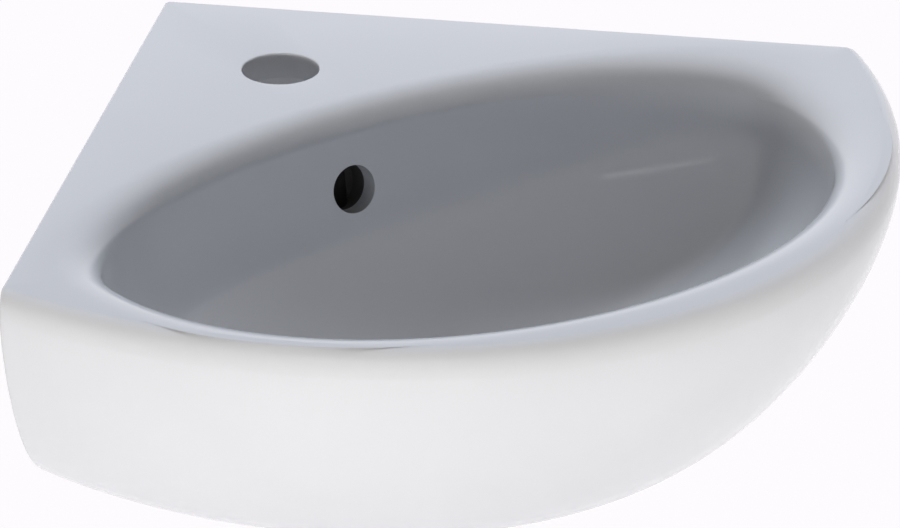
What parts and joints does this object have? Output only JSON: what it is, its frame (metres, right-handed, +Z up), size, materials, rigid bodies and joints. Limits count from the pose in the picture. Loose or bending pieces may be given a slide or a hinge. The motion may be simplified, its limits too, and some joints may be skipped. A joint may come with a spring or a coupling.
{
  "type": "corner wash basin",
  "caption": "White glazed corner hand basin with an oval bowl, a flat deck with a tap hole, an overflow, a slotted push-button waste and sleeved wall fixing holes.",
  "frame": {"origin": "the corner of the room at deck level: the vertical line where the two walls meet, at the height of the flat deck", "axes": "+Z up, +Y into the back wall, -X into the left wall; the basin fills the quarter x > 0, y < 0 and is symmetric about the diagonal plane x = -y"},
  "size_m": [0.3578, 0.3578, 0.186],
  "materials": {
    "glazed_ceramic": "smooth glossy white glaze",
    "chromed_brass": "polished chrome plate",
    "bare_brass": "turned brass",
    "spring_steel": "drawn stainless wire",
    "seal_rubber": "matt black rubber",
    "white_plastic": "natural white nylon"
  },
  "bodies": {
    "basin_body": {"basin": "glazed_ceramic", "waste_body": "chromed_brass", "upper_seal": "seal_rubber", "lower_seal": "seal_rubber", "slip_washer": "white_plastic", "back_nut": "bare_brass", "latch_barrel": "bare_brass", "plug_spring": "spring_steel", "sleeve_back": "white_plastic", "sleeve_left": "white_plastic"},
    "plug": {"plug_stem": "bare_brass", "plug_cap": "chromed_brass", "plug_seal": "seal_rubber"}
  },
  "joints": [
    {"name": "plug_travel", "type": "slide", "parent": "basin_body", "child": "plug", "axis": [0, 0, 1], "range_m": [-0.008, 0], "stiffness_N_per_m": 400, "springref_m": 0.01, "deforming": ["plug_spring"]}
  ]
}
